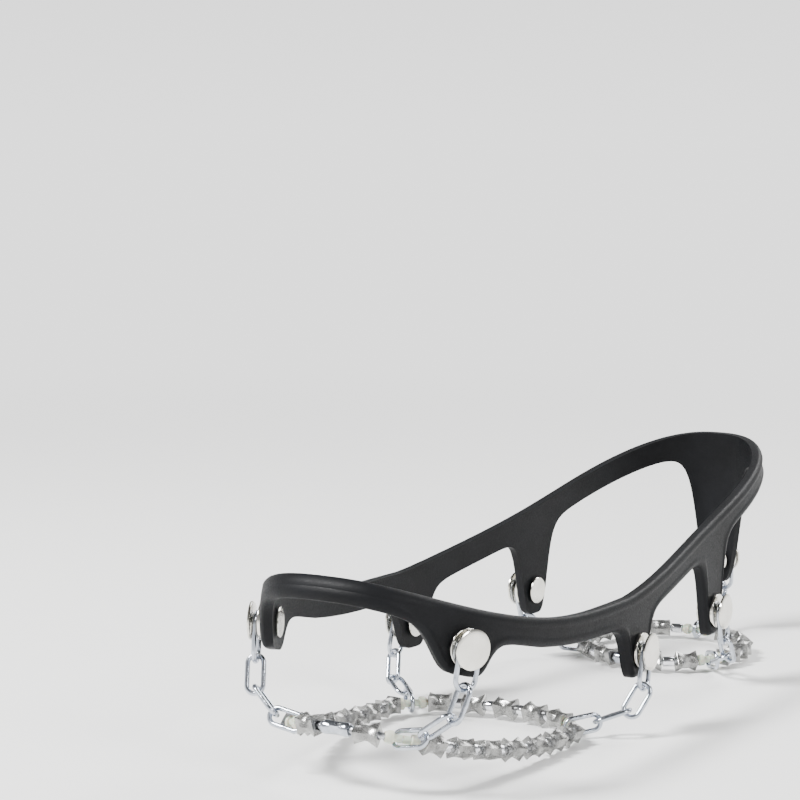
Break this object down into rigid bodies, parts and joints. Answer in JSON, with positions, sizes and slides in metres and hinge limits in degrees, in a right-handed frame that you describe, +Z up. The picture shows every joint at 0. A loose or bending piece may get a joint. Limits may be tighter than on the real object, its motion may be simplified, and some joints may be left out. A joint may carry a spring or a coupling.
{
  "type": "shoe ice cleats",
  "caption": "Stretch rubber harness that hangs two rings of steel beads on short chains under a boot, for grip on ice and packed snow.",
  "frame": {"origin": "on the plane of the boot's tread, midway across, near the middle of the boot's length; nothing of the part lies at that point, because the boot holds the part up", "axes": "+Z up, -Y towards the toe, +X to the side named right, which is right as seen from in front of the toe"},
  "size_m": [0.1162, 0.3316, 0.0907],
  "materials": {
    "rubber": "matte moulded rubber",
    "nickel": "polished nickel plate",
    "zinc_chain": "bright zinc plate",
    "bead_steel": "tumbled bare steel",
    "cable_and_bushings": "stranded steel cable, with off-white nylon bushings and polished tubes on it"
  },
  "bodies": {
    "harness": {"rivet_toe_left": "nickel", "rivet_toe_right": "nickel", "rivet_mid_left": "nickel", "rivet_mid_right": "nickel", "rivet_heel_front_left": "nickel", "rivet_heel_front_right": "nickel", "rivet_heel_back": "nickel", "harness": "rubber"},
    "forefoot_ring": {"forefoot_ferrule": "bead_steel", "forefoot_right_bead_string": "bead_steel", "forefoot_back_bead_string": "bead_steel", "forefoot_left_bead_string": "bead_steel", "forefoot_cable_and_bushings": "cable_and_bushings"},
    "forefoot_front_bead_1": {"forefoot_front_bead_1": "bead_steel"},
    "forefoot_front_bead_2": {"forefoot_front_bead_2": "bead_steel"},
    "heel_ring": {"heel_ferrule": "bead_steel", "heel_cable_and_bushings": "cable_and_bushings"},
    "heel_front_bead_1": {"heel_front_bead_1": "bead_steel"},
    "heel_front_bead_2": {"heel_front_bead_2": "bead_steel"},
    "heel_front_bead_3": {"heel_front_bead_3": "bead_steel"},
    "heel_front_bead_4": {"heel_front_bead_4": "bead_steel"},
    "heel_right_bead_1": {"heel_right_bead_1": "bead_steel"},
    "heel_right_bead_2": {"heel_right_bead_2": "bead_steel"},
    "heel_right_bead_3": {"heel_right_bead_3": "bead_steel"},
    "heel_right_bead_4": {"heel_right_bead_4": "bead_steel"},
    "heel_left_bead_1": {"heel_left_bead_1": "bead_steel"},
    "heel_left_bead_2": {"heel_left_bead_2": "bead_steel"},
    "heel_left_bead_3": {"heel_left_bead_3": "bead_steel"},
    "heel_left_bead_4": {"heel_left_bead_4": "bead_steel"},
    "toe_left_rivet_link": {"toe_left_rivet_link": "zinc_chain"},
    "toe_left_upper_link": {"toe_left_upper_link": "zinc_chain"},
    "toe_left_ring_link": {"toe_left_ring_link": "zinc_chain"},
    "toe_left_lower_link": {"toe_left_lower_link": "zinc_chain"},
    "toe_right_rivet_link": {"toe_right_rivet_link": "zinc_chain"},
    "toe_right_upper_link": {"toe_right_upper_link": "zinc_chain"},
    "toe_right_ring_link": {"toe_right_ring_link": "zinc_chain"},
    "toe_right_lower_link": {"toe_right_lower_link": "zinc_chain"},
    "mid_left_rivet_link": {"mid_left_rivet_link": "zinc_chain"},
    "mid_left_upper_link": {"mid_left_upper_link": "zinc_chain"},
    "mid_left_ring_link": {"mid_left_ring_link": "zinc_chain"},
    "mid_left_lower_link": {"mid_left_lower_link": "zinc_chain"},
    "mid_right_rivet_link": {"mid_right_rivet_link": "zinc_chain"},
    "mid_right_upper_link": {"mid_right_upper_link": "zinc_chain"},
    "mid_right_ring_link": {"mid_right_ring_link": "zinc_chain"},
    "mid_right_lower_link": {"mid_right_lower_link": "zinc_chain"},
    "heel_front_left_rivet_link": {"heel_front_left_rivet_link": "zinc_chain"},
    "heel_front_left_upper_link": {"heel_front_left_upper_link": "zinc_chain"},
    "heel_front_left_ring_link": {"heel_front_left_ring_link": "zinc_chain"},
    "heel_front_left_lower_link": {"heel_front_left_lower_link": "zinc_chain"},
    "heel_front_right_rivet_link": {"heel_front_right_rivet_link": "zinc_chain"},
    "heel_front_right_upper_link": {"heel_front_right_upper_link": "zinc_chain"},
    "heel_front_right_ring_link": {"heel_front_right_ring_link": "zinc_chain"},
    "heel_front_right_lower_link": {"heel_front_right_lower_link": "zinc_chain"},
    "heel_back_rivet_link": {"heel_back_rivet_link": "zinc_chain"},
    "heel_back_upper_link": {"heel_back_upper_link": "zinc_chain"},
    "heel_back_ring_link": {"heel_back_ring_link": "zinc_chain"},
    "heel_back_lower_link": {"heel_back_lower_link": "zinc_chain"}
  },
  "joints": [
    {"name": "forefoot_ring_lift", "type": "slide", "parent": "harness", "child": "forefoot_ring", "axis": [0, 0, 1], "range_m": [0, 0.004]},
    {"name": "forefoot_front_bead_1_spin", "type": "hinge", "parent": "forefoot_ring", "child": "forefoot_front_bead_1", "pos_m": [-0.01158, -0.15259, 0.01233], "axis": [0.971, -0.2244, 0.0821], "continuous": true},
    {"name": "forefoot_front_bead_2_spin", "type": "hinge", "parent": "forefoot_ring", "child": "forefoot_front_bead_2", "pos_m": [0.01158, -0.15259, 0.01233], "axis": [0.971, 0.2244, -0.0821], "continuous": true},
    {"name": "heel_ring_lift", "type": "slide", "parent": "harness", "child": "heel_ring", "axis": [0, 0, 1], "range_m": [0, 0.004]},
    {"name": "heel_front_bead_1_spin", "type": "hinge", "parent": "heel_ring", "child": "heel_front_bead_1", "pos_m": [-0.02281, 0.0744, -0.0046], "axis": [0.7454, -0.6666, 0], "continuous": true},
    {"name": "heel_front_bead_2_spin", "type": "hinge", "parent": "heel_ring", "child": "heel_front_bead_2", "pos_m": [-0.01031, 0.06728, -0.0046], "axis": [0.9537, -0.3008, 0], "continuous": true},
    {"name": "heel_front_bead_3_spin", "type": "hinge", "parent": "heel_ring", "child": "heel_front_bead_3", "pos_m": [0.01031, 0.06728, -0.0046], "axis": [0.9537, 0.3008, 0], "continuous": true},
    {"name": "heel_front_bead_4_spin", "type": "hinge", "parent": "heel_ring", "child": "heel_front_bead_4", "pos_m": [0.02281, 0.0744, -0.0046], "axis": [0.7454, 0.6666, 0], "continuous": true},
    {"name": "heel_right_bead_1_spin", "type": "hinge", "parent": "heel_ring", "child": "heel_right_bead_1", "pos_m": [0.0336, 0.09315, -0.0046], "axis": [0.2016, 0.9795, 0], "continuous": true},
    {"name": "heel_right_bead_2_spin", "type": "hinge", "parent": "heel_ring", "child": "heel_right_bead_2", "pos_m": [0.03341, 0.10775, -0.0046], "axis": [-0.2258, 0.9742, 0], "continuous": true},
    {"name": "heel_right_bead_3_spin", "type": "hinge", "parent": "heel_ring", "child": "heel_right_bead_3", "pos_m": [0.02716, 0.12095, -0.0046], "axis": [-0.6107, 0.7919, 0], "continuous": true},
    {"name": "heel_right_bead_4_spin", "type": "hinge", "parent": "heel_ring", "child": "heel_right_bead_4", "pos_m": [0.01599, 0.13034, -0.0046], "axis": [-0.8849, 0.4659, 0], "continuous": true},
    {"name": "heel_left_bead_1_spin", "type": "hinge", "parent": "heel_ring", "child": "heel_left_bead_1", "pos_m": [-0.01599, 0.13034, -0.0046], "axis": [-0.8849, -0.4659, 0], "continuous": true},
    {"name": "heel_left_bead_2_spin", "type": "hinge", "parent": "heel_ring", "child": "heel_left_bead_2", "pos_m": [-0.02716, 0.12095, -0.0046], "axis": [-0.6107, -0.7919, 0], "continuous": true},
    {"name": "heel_left_bead_3_spin", "type": "hinge", "parent": "heel_ring", "child": "heel_left_bead_3", "pos_m": [-0.03341, 0.10775, -0.0046], "axis": [-0.2258, -0.9742, 0], "continuous": true},
    {"name": "heel_left_bead_4_spin", "type": "hinge", "parent": "heel_ring", "child": "heel_left_bead_4", "pos_m": [-0.0336, 0.09315, -0.0046], "axis": [0.2016, -0.9795, 0], "continuous": true},
    {"name": "toe_left_rivet_link_swing", "type": "hinge", "parent": "harness", "child": "toe_left_rivet_link", "pos_m": [-0.04359, -0.13878, 0.04241], "axis": [-0.92, -0.392, 0], "range_deg": [0, 4.7]},
    {"name": "toe_left_upper_link_swing", "type": "hinge", "parent": "toe_left_rivet_link", "child": "toe_left_upper_link", "pos_m": [-0.04259, -0.14114, 0.02778], "axis": [-0.2704, 0.8771, -0.3969], "range_deg": [0, 19.12]},
    {"name": "toe_left_ring_link_swing", "type": "hinge", "parent": "forefoot_ring", "child": "toe_left_ring_link", "pos_m": [-0.022, -0.147, 0.01038], "axis": [0.1141, -0.887, 0.4476], "range_deg": [0, 12.45]},
    {"name": "toe_left_lower_link_swing", "type": "hinge", "parent": "toe_left_ring_link", "child": "toe_left_lower_link", "pos_m": [-0.02929, -0.14728, 0.01169], "axis": [0.1141, -0.887, 0.4476], "range_deg": [0, 1.39]},
    {"name": "toe_right_rivet_link_swing", "type": "hinge", "parent": "harness", "child": "toe_right_rivet_link", "pos_m": [0.04359, -0.13878, 0.04241], "axis": [0.92, -0.392, 0], "range_deg": [-4.7, 0]},
    {"name": "toe_right_upper_link_swing", "type": "hinge", "parent": "toe_right_rivet_link", "child": "toe_right_upper_link", "pos_m": [0.04259, -0.14114, 0.02778], "axis": [-0.2704, -0.8771, 0.3969], "range_deg": [0, 19.12]},
    {"name": "toe_right_ring_link_swing", "type": "hinge", "parent": "forefoot_ring", "child": "toe_right_ring_link", "pos_m": [0.022, -0.147, 0.01038], "axis": [0.1141, 0.887, -0.4476], "range_deg": [0, 12.45]},
    {"name": "toe_right_lower_link_swing", "type": "hinge", "parent": "toe_right_ring_link", "child": "toe_right_lower_link", "pos_m": [0.02929, -0.14728, 0.01169], "axis": [0.1141, 0.887, -0.4476], "range_deg": [0, 1.39]},
    {"name": "mid_left_rivet_link_swing", "type": "hinge", "parent": "harness", "child": "mid_left_rivet_link", "pos_m": [-0.05437, -0.02662, 0.022], "axis": [-0.9985, 0.0539, 0], "range_deg": [-1.66, 0]},
    {"name": "mid_left_upper_link_swing", "type": "hinge", "parent": "mid_left_rivet_link", "child": "mid_left_upper_link", "pos_m": [-0.05459, -0.03062, 0.0077], "axis": [0.3634, 0.8338, -0.4156], "range_deg": [0, 5.73]},
    {"name": "mid_left_ring_link_swing", "type": "hinge", "parent": "forefoot_ring", "child": "mid_left_ring_link", "pos_m": [-0.035, -0.049, -0.0046], "axis": [-0.7222, -0.6915, 0.0132], "range_deg": [0, 9.52]},
    {"name": "mid_left_lower_link_swing", "type": "hinge", "parent": "mid_left_ring_link", "child": "mid_left_lower_link", "pos_m": [-0.04066, -0.04307, -0.00337], "axis": [-0.7222, -0.6915, 0.0132], "range_deg": [0, 5.59]},
    {"name": "mid_right_rivet_link_swing", "type": "hinge", "parent": "harness", "child": "mid_right_rivet_link", "pos_m": [0.05437, -0.02662, 0.022], "axis": [0.9985, 0.0539, 0], "range_deg": [0, 1.66]},
    {"name": "mid_right_upper_link_swing", "type": "hinge", "parent": "mid_right_rivet_link", "child": "mid_right_upper_link", "pos_m": [0.05459, -0.03062, 0.0077], "axis": [0.3634, -0.8338, 0.4156], "range_deg": [0, 5.73]},
    {"name": "mid_right_ring_link_swing", "type": "hinge", "parent": "forefoot_ring", "child": "mid_right_ring_link", "pos_m": [0.035, -0.049, -0.0046], "axis": [-0.7222, 0.6915, -0.0132], "range_deg": [0, 9.52]},
    {"name": "mid_right_lower_link_swing", "type": "hinge", "parent": "mid_right_ring_link", "child": "mid_right_lower_link", "pos_m": [0.04066, -0.04307, -0.00337], "axis": [-0.7222, 0.6915, -0.0132], "range_deg": [0, 5.59]},
    {"name": "heel_front_left_rivet_link_swing", "type": "hinge", "parent": "harness", "child": "heel_front_left_rivet_link", "pos_m": [-0.0463, 0.05751, 0.022], "axis": [-0.9974, 0.0718, 0], "range_deg": [0, 1.5]},
    {"name": "heel_front_left_upper_link_swing", "type": "hinge", "parent": "heel_front_left_rivet_link", "child": "heel_front_left_upper_link", "pos_m": [-0.04594, 0.06241, 0.00799], "axis": [-0.3047, 0.773, 0.5564], "range_deg": [0, 6.32]},
    {"name": "heel_front_left_ring_link_swing", "type": "hinge", "parent": "heel_ring", "child": "heel_front_left_ring_link", "pos_m": [-0.02944, 0.083, -0.0046], "axis": [0.7294, -0.6825, -0.0468], "range_deg": [0, 9.31]},
    {"name": "heel_front_left_lower_link_swing", "type": "hinge", "parent": "heel_front_left_ring_link", "child": "heel_front_left_lower_link", "pos_m": [-0.03492, 0.07706, -0.00336], "axis": [0.7294, -0.6825, -0.0468], "range_deg": [0, 5.51]},
    {"name": "heel_front_right_rivet_link_swing", "type": "hinge", "parent": "harness", "child": "heel_front_right_rivet_link", "pos_m": [0.0463, 0.05751, 0.022], "axis": [0.9974, 0.0718, 0], "range_deg": [-1.5, 0]},
    {"name": "heel_front_right_upper_link_swing", "type": "hinge", "parent": "heel_front_right_rivet_link", "child": "heel_front_right_upper_link", "pos_m": [0.04594, 0.06241, 0.00799], "axis": [-0.3047, -0.773, -0.5564], "range_deg": [0, 6.32]},
    {"name": "heel_front_right_ring_link_swing", "type": "hinge", "parent": "heel_ring", "child": "heel_front_right_ring_link", "pos_m": [0.02944, 0.083, -0.0046], "axis": [0.7294, 0.6825, 0.0468], "range_deg": [0, 9.31]},
    {"name": "heel_front_right_lower_link_swing", "type": "hinge", "parent": "heel_front_right_ring_link", "child": "heel_front_right_lower_link", "pos_m": [0.03492, 0.07706, -0.00336], "axis": [0.7294, 0.6825, 0.0468], "range_deg": [0, 5.51]},
    {"name": "heel_back_rivet_link_swing", "type": "hinge", "parent": "harness", "child": "heel_back_rivet_link", "pos_m": [0, 0.1611, 0.024], "axis": [0, 1, 0], "range_deg": [-2, 2]},
    {"name": "heel_back_upper_link_swing", "type": "hinge", "parent": "heel_back_rivet_link", "child": "heel_back_upper_link", "pos_m": [0, 0.1611, 0.00915], "axis": [1, 0, 0], "range_deg": [0, 13.12]},
    {"name": "heel_back_ring_link_swing", "type": "hinge", "parent": "heel_ring", "child": "heel_back_ring_link", "pos_m": [0, 0.134, -0.0046], "axis": [-1, 0, 0], "range_deg": [0, 12.86]},
    {"name": "heel_back_lower_link_swing", "type": "hinge", "parent": "heel_back_ring_link", "child": "heel_back_lower_link", "pos_m": [0, 0.14221, -0.00337], "axis": [-1, 0, 0], "range_deg": [0, 3.09]}
  ],
  "couplings": [
    {"joint": "toe_left_rivet_link_swing", "follows": "forefoot_ring_lift", "rad_per_m": 16.647},
    {"joint": "toe_left_upper_link_swing", "follows": "forefoot_ring_lift", "rad_per_m": 73.862},
    {"joint": "toe_left_ring_link_swing", "follows": "forefoot_ring_lift", "rad_per_m": 47.395},
    {"joint": "toe_left_lower_link_swing", "follows": "forefoot_ring_lift", "rad_per_m": 3.5407},
    {"joint": "toe_right_rivet_link_swing", "follows": "forefoot_ring_lift", "rad_per_m": -16.647},
    {"joint": "toe_right_upper_link_swing", "follows": "forefoot_ring_lift", "rad_per_m": 73.862},
    {"joint": "toe_right_ring_link_swing", "follows": "forefoot_ring_lift", "rad_per_m": 47.395},
    {"joint": "toe_right_lower_link_swing", "follows": "forefoot_ring_lift", "rad_per_m": 3.5407},
    {"joint": "mid_left_rivet_link_swing", "follows": "forefoot_ring_lift", "rad_per_m": -4.611},
    {"joint": "mid_left_upper_link_swing", "follows": "forefoot_ring_lift", "rad_per_m": 20.738},
    {"joint": "mid_left_ring_link_swing", "follows": "forefoot_ring_lift", "rad_per_m": 35.792},
    {"joint": "mid_left_lower_link_swing", "follows": "forefoot_ring_lift", "rad_per_m": 20.206},
    {"joint": "mid_right_rivet_link_swing", "follows": "forefoot_ring_lift", "rad_per_m": 4.611},
    {"joint": "mid_right_upper_link_swing", "follows": "forefoot_ring_lift", "rad_per_m": 20.738},
    {"joint": "mid_right_ring_link_swing", "follows": "forefoot_ring_lift", "rad_per_m": 35.792},
    {"joint": "mid_right_lower_link_swing", "follows": "forefoot_ring_lift", "rad_per_m": 20.206},
    {"joint": "heel_front_left_rivet_link_swing", "follows": "heel_ring_lift", "rad_per_m": 3.9557},
    {"joint": "heel_front_left_upper_link_swing", "follows": "heel_ring_lift", "rad_per_m": 23.085},
    {"joint": "heel_front_left_ring_link_swing", "follows": "heel_ring_lift", "rad_per_m": 34.933},
    {"joint": "heel_front_left_lower_link_swing", "follows": "heel_ring_lift", "rad_per_m": 19.855},
    {"joint": "heel_front_right_rivet_link_swing", "follows": "heel_ring_lift", "rad_per_m": -3.9557},
    {"joint": "heel_front_right_upper_link_swing", "follows": "heel_ring_lift", "rad_per_m": 23.085},
    {"joint": "heel_front_right_ring_link_swing", "follows": "heel_ring_lift", "rad_per_m": 34.933},
    {"joint": "heel_front_right_lower_link_swing", "follows": "heel_ring_lift", "rad_per_m": 19.855},
    {"joint": "heel_back_upper_link_swing", "follows": "heel_ring_lift", "rad_per_m": 50.062},
    {"joint": "heel_back_ring_link_swing", "follows": "heel_ring_lift", "rad_per_m": 49.042},
    {"joint": "heel_back_lower_link_swing", "follows": "heel_ring_lift", "rad_per_m": 10.267}
  ]
}
